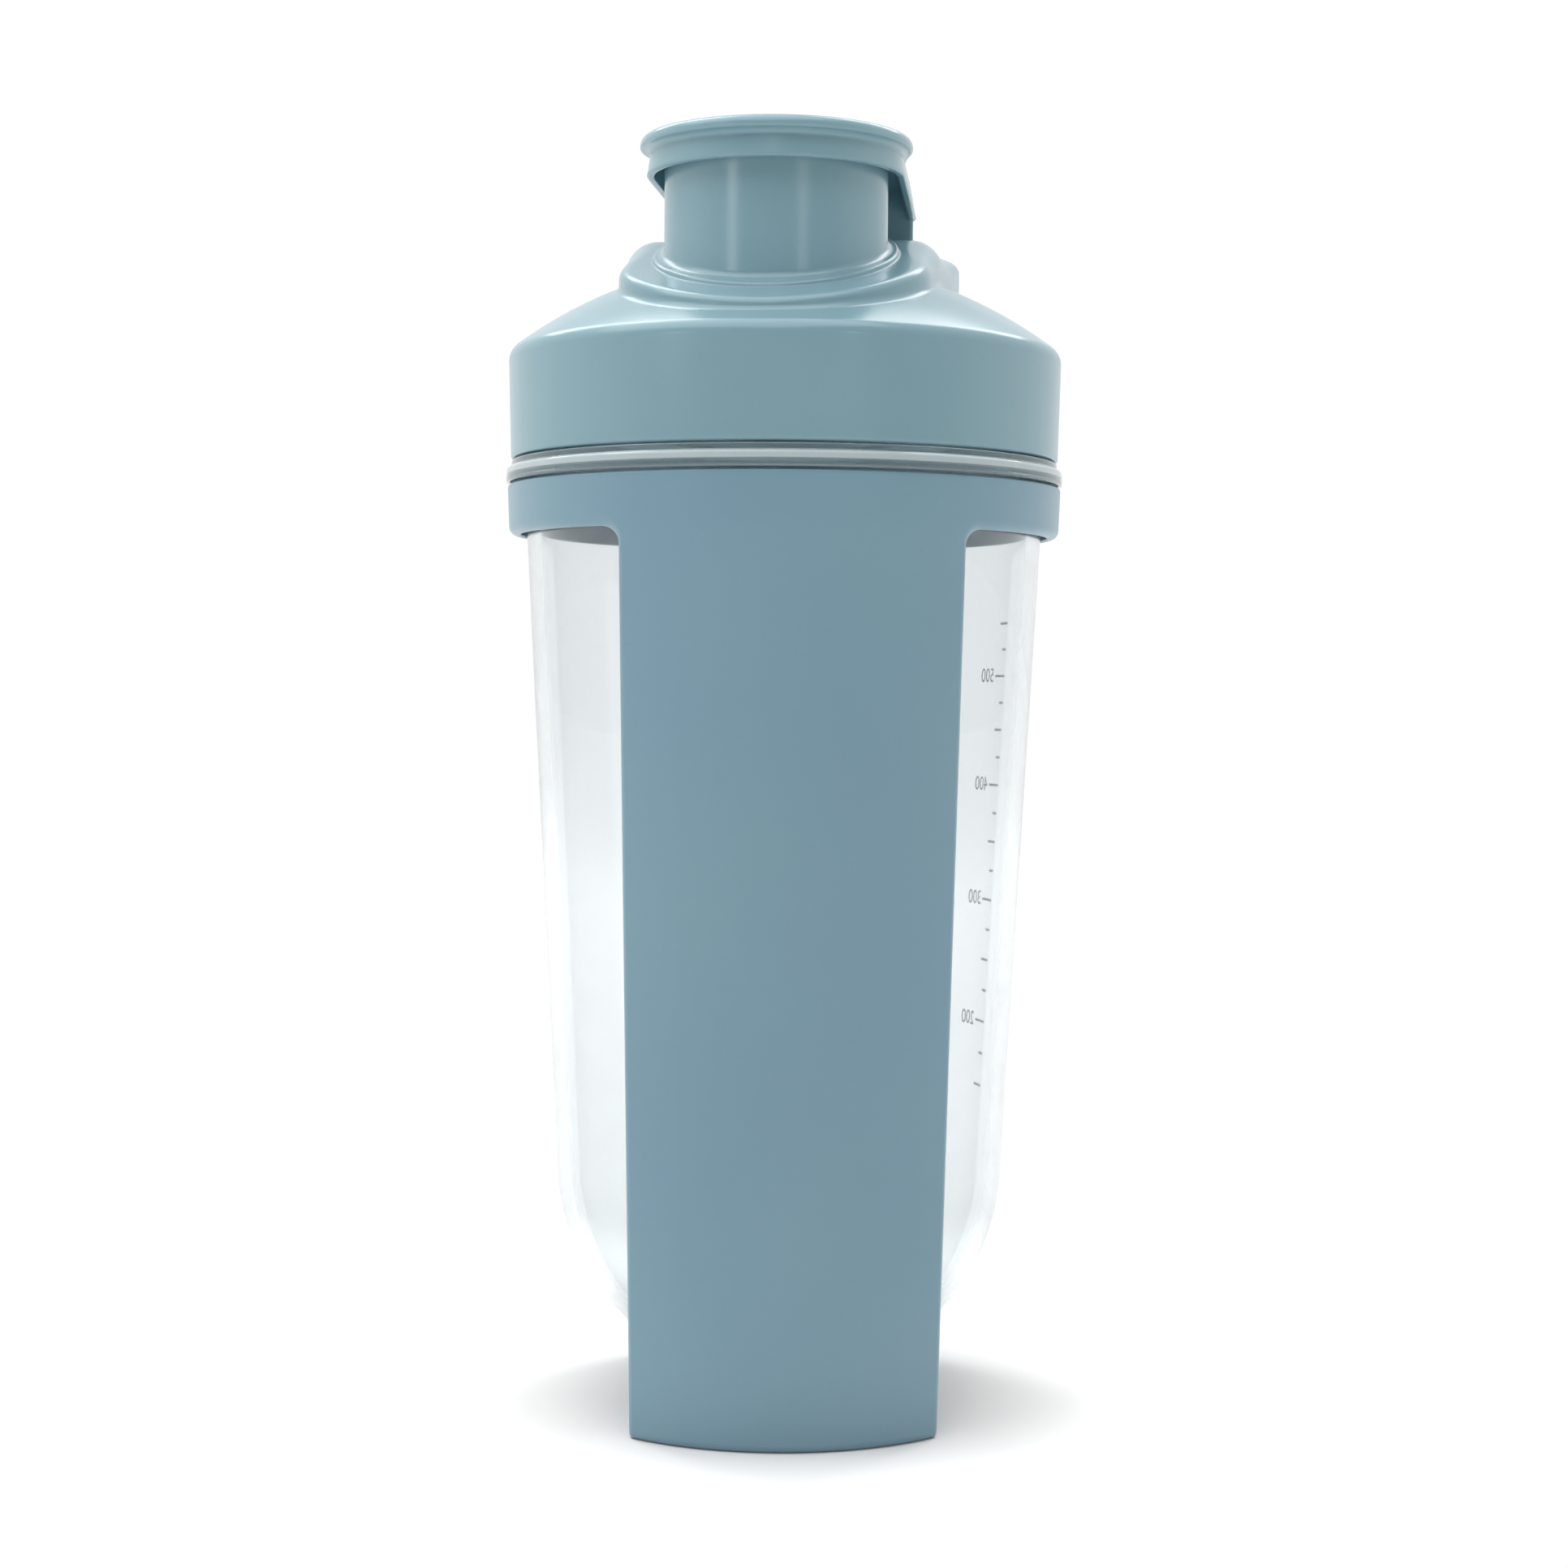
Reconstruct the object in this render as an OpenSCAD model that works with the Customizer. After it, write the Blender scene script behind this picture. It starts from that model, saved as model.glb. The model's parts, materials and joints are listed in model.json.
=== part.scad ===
// Capsule shaker bottle: a clear round-bottomed cup that drops into a carry sleeve, closed by a
// screw lid with an offset drinking spout and a flip cap that hinges behind the spout.
// Millimetres, +Z up. The origin is the centre of the sleeve's foot; the front panel faces -Y.

/* [Sleeve] */
// Outer radius of the sleeve at its foot
foot_r = 39; // [38.9:0.1:39.5]
// Outer radius of the sleeve under its top ring
ring_low_r = 47.6; // [47.4:0.1:47.9]
// Outer radius of the sleeve at the top of its ring
ring_top_r = 47.9; // [47.7:0.1:48.1]
// Height of the top of the sleeve's ring
ring_top = 159; // [158.5:0.1:159]
// Height of the ring itself, above the side windows
ring_h = 8.6; // [7:0.1:12]
// Wall of the front and back panels
panel_wall = 2; // [1.6:0.1:2]
// Width of a panel just under the ring
panel_w_top = 56; // [50:1:60]
// Width of a panel at the foot
panel_w_foot = 51; // [46:1:54]
// Radius of the upper corners of the side windows
window_corner_r = 2.9; // [1:0.1:6]
// Thickness of the floor that joins the two panels
floor_t = 2.4; // [2:0.1:2.6]

/* [Cup] */
// Radius of the round bottom
cup_ball_r = 38.9; // [38:0.1:38.9]
// Height of the lowest point of the cup above the ground
cup_lift_off_floor = 3.6; // [2.9:0.1:3.8]
// Radius gained per millimetre of height along the tapered wall
cup_taper = 0.052; // [0.045:0.001:0.052]
// Wall of the cup
cup_wall = 2.4; // [1.8:0.1:2.6]
// Radius of the flange that rests on the sleeve
flange_r = 48.2; // [48:0.1:48.5]
// Thickness of that flange
flange_t = 2.7; // [2:0.1:2.8]
// Radius of the low step above the flange that the lid closes against
step_r = 47.3; // [46:0.1:47.4]
// Outer radius of the threaded neck
neck_r = 43.4; // [43:0.1:43.6]
// Height of the neck's rim
neck_top = 176.4; // [175.5:0.1:176.4]

/* [Screw thread] */
// Climb of the thread in one turn
thread_pitch = 6; // [5:0.5:7]
// Length of each thread in turns
thread_turns = 1.1; // [0.8:0.1:1.2]
// How far the threads stand out of their walls
thread_depth = 1.1; // [0.8:0.1:1.2]

/* [Lid] */
// Turn of the spout away from the sleeve's front when the lid is tight
lid_yaw = -7.6; // [-30:0.2:30]
// Radius of the lid at the top of its skirt
lid_r = 47.8; // [47.6:0.1:48]
// Height of the lid's lower edge
lid_bottom = 163.5; // [163.5:0.1:164]
// Height where the skirt turns into the domed shoulder
skirt_top = 182.6; // [182.2:0.1:182.9]
// Radius of the domed shoulder
dome_r = 78; // [76:1:82]
// Distance of the spout's axis in front of the lid's axis
spout_offset = 18; // [16:0.5:18]
// Outer radius of the spout
spout_r = 18.7; // [17:0.1:18.9]
// Height of the spout's rim
spout_top = 212.4; // [212:0.1:212.4]
// Radius of the slanted collar round the spout
collar_r = 26.2; // [25:0.1:26.6]
// Height of the collar's slanted top on the spout's axis
collar_mid = 196.6; // [196:0.1:197]
// Slope of the collar's top, low at the front
collar_slope = 21.5; // [18:0.5:22]
// Height of the flat top of the hinge housing
housing_top = 201.5; // [201:0.1:202]
// Distance of the housing's rear face behind the lid's axis
housing_back = 28; // [27:0.5:28]
// Width gained by the housing towards the rear, as an angle on each side
housing_flare = 3.9; // [2:0.1:5]

/* [Flip cap] */
// Radius of the round lip on top of the cap
cap_r = 22.8; // [22.4:0.1:22.8]
// Height of the cap's top
cap_top = 216; // [215.9:0.1:216.5]
// Height of the lower edge of the cap's skirt
cap_edge = 209.4; // [208.5:0.1:209.8]
// Thickness of the cap's top plate
cap_plate = 2.1; // [1.8:0.1:2.1]
// Narrowing of the cap towards the hinge, as an angle on each side
cap_taper = 0.4; // [0.2:0.1:1.5]
// Radius of the bend from the cap's top into its strap
cap_bend_r = 6; // [4:0.5:7]

/* [Hinge] */
// Distance of the hinge pin behind the lid's axis
pin_y = 23.5; // [23:0.1:23.5]
// Height of the hinge pin
pin_z = 198.4; // [198.2:0.1:198.5]
// Radius of the hinge pin
pin_r = 1.5; // [1.2:0.1:1.6]
// Radius of the strap's barrel round the pin
barrel_r = 2.8; // [2.6:0.1:2.9]
// How far the cap opens, in degrees
cap_open = 110; // [90:1:110]

/* [Hidden] */

$fn = 96;
gap = 0.3;          // clearance between pieces that rest on each other
running = 0.05;     // radial clearance of the turning hinge
far = 60;           // reach of cutting tools

// Sleeve
ring_low = ring_top - ring_h;
inner_ring_r = ring_low_r - panel_wall;
foot_chamfer = 0.6;
rim_chamfer = 0.5;
function panel_r(z) = foot_r + (ring_low_r - foot_r) * z / ring_low;

// Cup
ball_z = cup_lift_off_floor + cup_ball_r;
cup_slope = atan(cup_taper);
flange_bottom = ring_top + gap;
step_bottom = flange_bottom + flange_t;
step_top = lid_bottom - gap;
neck_wall = 2.2;
neck_edge_r = 0.6;
flange_edge = 0.4;
web_h = 0.6;        // height of the small web that stiffens the flange from below
cup_thread_z = 167.6;
function cup_r(z) = cup_ball_r * cos(cup_slope) + cup_taper * (z - ball_z + cup_ball_r * sin(cup_slope));

// Lid
skirt_draft = 0.4;
skirt_chamfer = 0.4;
skirt_in_r = 45.3;
skirt_edge_r = 3;
lid_thread_z = 165.6;
dome_wall = 2.3;
dome_in_r = 39.5;   // reach of the hollow under the dome
dome_z = skirt_top - dome_r * cos(asin((lid_r - 1) / dome_r));
seat_z = 178.6;     // face that the gasket lies against
seat_r = 41;
seat_h = 2;
spout_wall = 1.8;
spout_root = 182;   // where the spout's tube starts, inside the dome's wall
spout_chamfer = 0.6;
collar_wall = 2.2;
housing_corner = 2.5;
slot_room = 0.5;    // room round the strap's barrel
slot_front = pin_y - barrel_r - slot_room;
function dome(r, radius) = dome_z + sqrt(radius * radius - r * r);
function slant(y) = collar_mid + tan(collar_slope) * (y + spout_offset);

// Flip cap
cap_wall = 1.4;
lip_h = 2.1;
lip_overhang = 1.1;
skirt_r = cap_r - lip_overhang;
strap_t = 2;
strap_inset = 0.6;  // how far the strap's edges lie inside its barrel's ends
strap_back = pin_y + barrel_r - 0.2;
strap_half = skirt_r / cos(cap_taper) - (strap_back + spout_offset) * tan(cap_taper);
slot_half = strap_half + gap;

// Hinge pin, pushed in from the left until it meets the end of its bore
pin_inset = 0.6;
pin_left = pin_inset - collar_r / cos(housing_flare) - (pin_y + spout_offset) * tan(housing_flare);
pin_right = slot_half + 4;

// Gasket and seal
gasket_edge_r = 0.5;
lip_groove = 0.3;
seal_disc_h = 0.9;
plug_h = 2;
plug_wall = 3.8;

// Points of an arc about (cx, cy), from angle a0 to a1, both ends included
function arc(cx, cy, r, a0, a1, n = 8) =
    [for (i = [0:n]) let (a = a0 + (a1 - a0) * i / n) [cx + r * cos(a), cy + r * sin(a)]];

// A screw thread as one closed band: `side` is 1 for a thread that stands outwards
// and -1 for one that stands inwards. Both ends run out into the wall.
module thread(wall_r, z0, side) {
    steps = 40 * thread_turns;
    root = 0.4;             // how far the band is sunk into its wall
    root_half = 1.3;
    crest_half = 0.5;
    run_out = 0.12;         // share of the length over which an end rises to full depth
    function rise(t) = min(1, min(t, 1 - t) / run_out);
    function depth(t) = -0.1 + (thread_depth + 0.1) * rise(t);
    function ring(t) = let (a = 360 * thread_turns * t, z = z0 + thread_pitch * thread_turns * t,
                            r0 = wall_r - side * root, r1 = wall_r + side * depth(t))
        [for (p = [[r0, -root_half], [r1, -crest_half], [r1, crest_half], [r0, root_half]])
            [p[0] * cos(a), p[0] * sin(a), z + p[1]]];
    points = [for (i = [0:steps]) each ring(i / steps)];
    turn = side > 0 ? [0, 1, 2, 3] : [3, 2, 1, 0];
    bands = [for (i = [0:steps - 1], k = [0:3])
        let (a = 4 * i + turn[k], b = 4 * i + turn[(k + 1) % 4]) each [[a, b, b + 4], [a, b + 4, a + 4]]];
    last = 4 * steps;
    ends = [[for (k = [3:-1:0]) turn[k]], [for (k = [0:3]) last + turn[k]]];
    polyhedron(points, concat(bands, ends), convexity = 6);
}

// Front view outline of one side window, open downwards and outwards
module window_outline() {
    top = panel_w_top / 2;
    foot = panel_w_foot / 2;
    c = window_corner_r;
    polygon(concat([[far, -1], [foot, -1]], arc(top + c, ring_low - c, c, 180, 90), [[far, ring_low]]));
}

module sleeve_shell() {
    rotate_extrude()
        polygon(concat(
            [[0, 0], [foot_r - foot_chamfer, 0], [foot_r, foot_chamfer], [ring_low_r, ring_low]],
            [[ring_top_r, ring_top - rim_chamfer], [ring_top_r - rim_chamfer, ring_top]],
            [[inner_ring_r, ring_top], [inner_ring_r, ring_low]],
            [[panel_r(floor_t) - panel_wall, floor_t], [0, floor_t]]));
}

module sleeve() {
    color([0.54, 0.68, 0.74])
        difference() {
            sleeve_shell();
            for (side = [0, 1])
                mirror([side, 0, 0])
                    rotate([90, 0, 0])
                        translate([0, 0, -far])
                            linear_extrude(2 * far) window_outline();
        }
}

module cup_shell() {
    e = flange_edge;
    n = neck_edge_r;
    web = flange_bottom - web_h;
    neck_in = neck_r - neck_wall;
    rotate_extrude()
        polygon(concat(
            arc(0, ball_z, cup_ball_r, -90, -cup_slope, 20),
            [[cup_r(web), web], [cup_r(web) + web_h / 2, flange_bottom], [flange_r - e, flange_bottom]],
            [[flange_r, flange_bottom + e], [flange_r, step_bottom - e], [flange_r - e, step_bottom]],
            [[step_r, step_bottom], [step_r, step_top], [neck_r, step_top]],
            arc(neck_r - n, neck_top - n, n, 0, 90, 3), arc(neck_in + n, neck_top - n, n, 90, 180, 3),
            [[neck_in, step_top + 1], [cup_r(flange_bottom) - cup_wall, flange_bottom - 1]],
            arc(0, ball_z, cup_ball_r - cup_wall, -cup_slope, -90, 20)));
}

module cup() {
    color([0.85, 0.91, 0.92, 0.4])
        union() {
            cup_shell();
            thread(neck_r, cup_thread_z, 1);
        }
}

// Plan outline of the collar and the hinge housing behind it, drawn in by `inset`
module housing_plan(inset, back) {
    f = housing_flare;
    r = collar_r - inset;
    c = inset > 0 ? 1 : housing_corner;
    w = collar_r / cos(f) + (back + spout_offset) * tan(f) - inset / cos(f);
    translate([0, -spout_offset]) circle(r);
    polygon(concat(
        [[-r * cos(f), -spout_offset - r * sin(f)], [r * cos(f), -spout_offset - r * sin(f)]],
        arc(w - c, back - c, c, 0, 90, 4), arc(c - w, back - c, c, 90, 180, 4)));
}

// Everything below the slanted front and the flat top, lowered by `drop`
module below_collar_top(drop) {
    flat_y = (housing_top - collar_mid) / tan(collar_slope) - spout_offset;
    translate([-far, 0, 0]) rotate([90, 0, 90]) linear_extrude(2 * far)
        polygon([[-far, 150], [far, 150], [far, housing_top - drop], [flat_y, housing_top - drop],
                 [-far, slant(-far) - drop]]);
}

module lid_outside() {
    e = skirt_edge_r;
    a = asin((lid_r - 1) / dome_r);
    union() {
        rotate_extrude()
            polygon(concat(
                [[0, lid_bottom], [lid_r - skirt_draft - skirt_chamfer, lid_bottom]],
                [[lid_r - skirt_draft, lid_bottom + skirt_chamfer]],
                arc(lid_r - e, dome(lid_r - e, dome_r) - e / cos(a), e, 0, 90 - a, 4),
                arc(0, dome_z, dome_r, 90 - asin((lid_r - 2) / dome_r), 90, 14)));
        intersection() {
            translate([0, 0, dome_z]) cylinder(r = lid_r - e, h = dome_r + 20);
            translate([0, 0, seat_z]) linear_extrude(far) housing_plan(0, housing_back);
            below_collar_top(0);
        }
        translate([0, -spout_offset, 0])
            rotate_extrude()
                polygon([[0, spout_root], [spout_r, spout_root], [spout_r, spout_top - spout_chamfer],
                         [spout_r - spout_chamfer, spout_top], [0, spout_top]]);
    }
}

module lid_inside() {
    inner_dome = dome_r - dome_wall;
    union() {
        rotate_extrude()
            polygon(concat(
                [[0, lid_bottom - 1], [skirt_in_r, lid_bottom - 1], [skirt_in_r, seat_z], [seat_r, seat_z]],
                [[seat_r, seat_z + seat_h]],
                arc(0, dome_z, inner_dome, 90 - asin(dome_in_r / inner_dome), 90, 12)));
        intersection() {
            translate([0, 0, seat_z + seat_h]) cylinder(r = dome_in_r, h = far);
            translate([0, 0, seat_z]) linear_extrude(far)
                housing_plan(collar_wall, slot_front - collar_wall);
            below_collar_top(collar_wall);
        }
        translate([0, -spout_offset, seat_z + 2 * seat_h]) cylinder(r = spout_r - spout_wall, h = far);
    }
}

// Side view outline of the room that the strap and its barrel sweep as the cap opens
module hinge_slot() {
    r = barrel_r + slot_room;
    down = cap_open - 90;
    translate([-slot_half, 0, 0]) rotate([90, 0, 90]) linear_extrude(2 * slot_half)
        polygon(concat(
            [[pin_y - r, housing_top + 5]], arc(pin_y, pin_z, r, 180, 270 - down, 8),
            [[pin_y + far, pin_z - r / cos(down) - far * tan(down)], [pin_y + far, housing_top + 5]]));
}

module lid() {
    color([0.60, 0.74, 0.79])
        rotate([0, 0, lid_yaw])
            union() {
                difference() {
                    lid_outside();
                    lid_inside();
                    hinge_slot();
                    translate([-far, pin_y, pin_z]) rotate([0, 90, 0])
                        cylinder(r = pin_r, h = far + pin_right + gap);
                }
                thread(skirt_in_r, lid_thread_z, -1);
            }
}

module lid_gasket() {
    low = neck_top + 0.2;
    high = seat_z - 0.2;
    e = gasket_edge_r;
    in = seat_r + e;
    out = skirt_in_r - 2 * e;
    mid = (in + out) / 2;
    color([0.88, 0.90, 0.90])
        rotate_extrude()
            polygon(concat(
                arc(out, high - e, e, 0, 90, 4),
                [[mid + 2 * lip_groove, high], [mid + lip_groove, high - lip_groove]],
                [[mid - lip_groove, high - lip_groove], [mid - 2 * lip_groove, high]],
                arc(in + e, high - e, e, 90, 180, 4), arc(in + e, low + e, e, 180, 270, 4),
                arc(out, low + e, e, 270, 360, 4)));
}

// Plan outline of the cap with a front of radius r, its sides closing in towards the hinge
module cap_plan(r, back) {
    t = cap_taper;
    w = r / cos(t) - (back + spout_offset) * tan(t);
    polygon(concat(arc(0, -spout_offset, r, t - 180, -t, 36), [[w, back], [-w, back]]));
}

// Side view outline of the cap's back: the top bends down into the strap
module cap_side() {
    b = cap_bend_r;
    translate([-far, 0, 0]) rotate([90, 0, 90]) linear_extrude(2 * far)
        polygon(concat([[-far, pin_z - 20], [strap_back, pin_z - 20]],
            arc(strap_back - b, cap_top - b, b, 0, 90, 8), [[-far, cap_top]]));
}

module cap_slab(r, z0, z1, back) {
    translate([0, 0, z0]) linear_extrude(z1 - z0) cap_plan(r, back);
}

module flip_cap() {
    w = strap_half;
    color([0.62, 0.75, 0.79])
        rotate([0, 0, lid_yaw])
            difference() {
                union() {
                    intersection() {
                        difference() {
                            union() {
                                translate([0, -spout_offset, cap_top - lip_h])
                                    cylinder(r = cap_r, h = lip_h + 1);
                                cap_slab(skirt_r, cap_edge, cap_top + 2, strap_back + 2);
                            }
                            cap_slab(skirt_r - cap_wall, cap_edge - 1, cap_top - cap_plate,
                                     strap_back - strap_t);
                        }
                        cap_side();
                    }
                    translate([strap_inset - w, strap_back - strap_t, pin_z])
                        cube([2 * (w - strap_inset), strap_t, cap_top - cap_bend_r - pin_z]);
                    translate([-w, pin_y, pin_z]) rotate([0, 90, 0]) cylinder(r = barrel_r, h = 2 * w);
                }
                translate([-far, pin_y, pin_z]) rotate([0, 90, 0])
                    cylinder(r = pin_r + running, h = 2 * far);
            }
}

module spout_seal() {
    top = cap_top - cap_plate;
    under = top - seal_disc_h;
    over_rim = spout_top + gap;
    tip = spout_top - plug_h;
    disc_r = skirt_r - cap_wall - 0.8;
    plug_r = spout_r - spout_wall - 0.5;
    plug_in = plug_r - plug_wall;
    color([0.90, 0.91, 0.91])
        rotate([0, 0, lid_yaw])
            translate([0, -spout_offset, 0])
                rotate_extrude()
                    polygon([[0, top], [disc_r, top], [disc_r, over_rim], [plug_r, over_rim],
                             [plug_r - 0.5, tip + plug_h / 2], [plug_r - plug_wall / 2, tip],
                             [plug_in + 0.4, tip], [plug_in, under], [0, under]]);
}

module hinge_pin() {
    color([0.75, 0.76, 0.78])
        rotate([0, 0, lid_yaw])
            translate([pin_left, pin_y, pin_z]) rotate([0, 90, 0])
                cylinder(r = pin_r, h = pin_right - pin_left);
}

sleeve();
cup();
lid();
lid_gasket();
flip_cap();
spout_seal();
hinge_pin();
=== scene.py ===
"""Looks of the capsule shaker bottle: sleeve, clear cup, screw lid and flip cap in moulded plastic.

Shapes are worked out in millimetres in the CAD frame (+Z up, the sleeve's front panel faces -Y)
and scaled to metres when a mesh is made. The lid group is drawn in the lid's own frame, where the
spout is straight in front of the lid's axis, and is then turned by LID_YAW about +Z.
"""
import json
import math

import bmesh
import bpy
import numpy as np
import openvdb
from mathutils import Matrix, Vector


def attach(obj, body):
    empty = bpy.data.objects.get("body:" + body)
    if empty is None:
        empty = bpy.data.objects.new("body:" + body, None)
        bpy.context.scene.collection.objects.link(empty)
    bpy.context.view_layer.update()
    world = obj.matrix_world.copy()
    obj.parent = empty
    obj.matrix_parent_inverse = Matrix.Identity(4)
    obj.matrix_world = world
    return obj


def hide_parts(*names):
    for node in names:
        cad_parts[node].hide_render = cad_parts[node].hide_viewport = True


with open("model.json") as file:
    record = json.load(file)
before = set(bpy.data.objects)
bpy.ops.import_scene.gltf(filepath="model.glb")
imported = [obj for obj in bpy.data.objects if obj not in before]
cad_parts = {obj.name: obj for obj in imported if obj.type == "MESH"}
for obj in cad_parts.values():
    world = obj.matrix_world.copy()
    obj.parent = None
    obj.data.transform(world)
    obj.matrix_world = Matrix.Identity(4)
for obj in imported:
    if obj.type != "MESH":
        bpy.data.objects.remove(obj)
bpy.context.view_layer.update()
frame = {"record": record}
MM = 0.001

# ---------------------------------------------------------------- measures (mm, degrees)

HINGE = next(j for j in frame["record"]["behaviour"]["joints"] if j["name"] == "cap_flip")
LID_YAW = -math.atan2(HINGE["pos_m"][0], HINGE["pos_m"][1])
PIN_Y = math.hypot(HINGE["pos_m"][0], HINGE["pos_m"][1]) / MM
PIN_Z = HINGE["pos_m"][2] / MM
PIN_R = 1.5

# Sleeve
FOOT_R, RING_LOW_R, RING_TOP_R = 39.0, 47.6, 47.9
RING_TOP, RING_H = 159.0, 8.6
RING_LOW = RING_TOP - RING_H
PANEL_WALL = 2.0
PANEL_HALF_TOP, PANEL_HALF_FOOT = 28.0, 25.5
WINDOW_CORNER = 2.9
FLOOR_T = 2.4
FOOT_ROUND, FLOOR_ROUND = 1.4, 2.5      # fillets at the foot, outside and inside
PANEL_EDGE, RING_EDGE, INNER_EDGE = 0.6, 1.4, 0.35
RIM_ROUND, RIM_ROUND_IN = 0.5, 0.3

# Cup
BALL_R, BALL_Z = 38.9, 42.5
CUP_TAPER, CUP_WALL = 0.052, 2.4
FLANGE_R, FLANGE_LOW, FLANGE_TOP = 48.2, 159.3, 162.0
STEP_R, STEP_TOP = 47.3, 163.2
NECK_R, NECK_IN, NECK_TOP = 43.4, 41.2, 176.4

# Threads
PITCH, TURNS, THREAD_DEPTH, THREAD_ROOT = 6.0, 1.1, 1.1, 0.4
CUP_THREAD_Z, LID_THREAD_Z = 167.6, 165.6

# Lid
LID_R, LID_BOTTOM, SKIRT_DRAFT, SKIRT_IN = 47.8, 163.5, 0.4, 45.3
SKIRT_TOP, DOME_R, SHOULDER = 182.6, 78.0, 3.0
DOME_Z = SKIRT_TOP - DOME_R * math.cos(math.asin((LID_R - 1) / DOME_R))
DOME_WALL, DOME_IN_R = 2.3, 39.5
SEAT_Z, SEAT_R, SEAT_H = 178.6, 41.0, 2.0
SPOUT_Y, SPOUT_R, SPOUT_TOP, SPOUT_WALL = -18.0, 18.7, 212.4, 1.8
SPOUT_AXIS = np.array((0.0, SPOUT_Y))
RIM_OUT, RIM_IN = 0.7, 0.6              # rounding of the spout's rim
FOOT_OUT, FOOT_UP = 2.3, 2.2            # reach of the spout's foot along and above the collar
COLLAR_R, COLLAR_MID, COLLAR_SLOPE, COLLAR_WALL = 26.2, 196.6, 21.5, 2.2
HOUSING_TOP, HOUSING_BACK, HOUSING_FLARE, HOUSING_CORNER = 201.5, 28.0, 3.9, 2.5
CAVITY_BACK, CAVITY_CORNER = 18.0, 1.0
SLOT_FALL = 20                          # degrees that the slot's floor falls towards the rear

# Flip cap
LIP_R, LIP_H, CAP_TOP, CAP_EDGE, CAP_PLATE = 22.8, 2.1, 216.0, 209.4, 2.1
SKIRT_R, SKIRT_LEAN, CAP_WALL, CAP_TAPER, BEND_R = 21.7, 0.17, 1.4, 0.4, 6.0
STRAP_T, STRAP_BACK, BARREL_R, STRAP_INSET = 2.0, 26.1, 2.8, 0.6
CAP_SLOPE = math.tan(math.radians(CAP_TAPER))
STRAP_HALF = SKIRT_R / math.cos(math.radians(CAP_TAPER)) - (STRAP_BACK - SPOUT_Y) * CAP_SLOPE
SLOT_HALF, SLOT_R = STRAP_HALF + 0.3, BARREL_R + 0.5
PIN_LEFT = 0.6 - COLLAR_R / math.cos(math.radians(HOUSING_FLARE)) \
    - (PIN_Y - SPOUT_Y) * math.tan(math.radians(HOUSING_FLARE))
PIN_RIGHT = SLOT_HALF + 4
CAP_LOW, CAP_HIGH, CAP_PITCH = (-24, -42, 194), (24, 28, 217.5), 0.36      # grid that the cap is meshed on


# ---------------------------------------------------------------- camera

EYE_DISTANCE = 494.5        # in front of the bottle's axis
EYE_HEIGHT = 124.6
EYE_ASIDE = 0.39
LENS_MM = 64.97
CAMERA_DOWN = 1.967         # degrees
CAMERA_ROLL = 0.46
CAMERA_YAW = 2.249          # how far the camera stands round to the left of the front


def place_camera():
    """The camera, a little above the middle of the bottle and a little to one side of its front."""
    scene = bpy.context.scene
    data = bpy.data.cameras.new("camera")
    data.lens = LENS_MM
    data.sensor_width = 36
    data.dof.use_dof = False
    camera = bpy.data.objects.new("camera", data)
    scene.collection.objects.link(camera)
    down, roll = math.radians(CAMERA_DOWN), math.radians(CAMERA_ROLL)
    forward = Vector((0, math.cos(down), -math.sin(down)))
    up = Vector((0, math.sin(down), math.cos(down)))
    across = Vector((1, 0, 0))
    right = across * math.cos(roll) + up * math.sin(roll)
    top = up * math.cos(roll) - across * math.sin(roll)
    place = Matrix((right, top, -forward)).transposed().to_4x4()
    place.translation = Vector((EYE_ASIDE, -EYE_DISTANCE, EYE_HEIGHT)) * MM
    camera.matrix_world = Matrix.Rotation(-math.radians(CAMERA_YAW), 4, "Z") @ place
    scene.camera = camera


# ---------------------------------------------------------------- mesh helpers

def turned(points):
    """Points of the lid's own frame, turned by the lid's yaw into the shared frame."""
    c, s = math.cos(LID_YAW), math.sin(LID_YAW)
    p = np.asarray(points, float)
    return np.stack((c * p[..., 0] - s * p[..., 1], s * p[..., 0] + c * p[..., 1], p[..., 2]), -1)


def new_object(name, mesh):
    obj = bpy.data.objects.new(name, mesh)
    bpy.context.scene.collection.objects.link(obj)
    return obj


def sheets(name, grids, weld=1e-6):
    """One mesh from grids of points (rows, columns, xyz) in mm. A grid is (points, wrap rows,
    wrap columns); neighbouring grids are welded where their points meet."""
    mesh = bpy.data.meshes.new(name)
    points, faces = [], []
    for grid, wrap_rows, wrap_cols in grids:
        rows, cols = grid.shape[:2]
        base = len(points)
        points.extend((grid.reshape(-1, 3) * MM).tolist())
        for i in range(rows if wrap_rows else rows - 1):
            a, b = base + i * cols, base + (i + 1) % rows * cols
            for j in range(cols if wrap_cols else cols - 1):
                k = (j + 1) % cols
                faces.append((a + j, a + k, b + k, b + j))
    mesh.from_pydata(points, [], faces)
    work = bmesh.new()
    work.from_mesh(mesh)
    bmesh.ops.remove_doubles(work, verts=work.verts, dist=weld)
    bmesh.ops.dissolve_degenerate(work, edges=work.edges, dist=weld / 4)
    bmesh.ops.recalc_face_normals(work, faces=work.faces)
    work.to_mesh(mesh)
    work.free()
    return new_object(name, mesh)


def face_outward(mesh, fill=False):
    """Turns every face outward, after closing the open ends where `fill` says so."""
    work = bmesh.new()
    work.from_mesh(mesh)
    if fill:
        bmesh.ops.holes_fill(work, edges=[e for e in work.edges if e.is_boundary], sides=0)
    bmesh.ops.recalc_face_normals(work, faces=work.faces)
    work.to_mesh(mesh)
    work.free()


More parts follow.
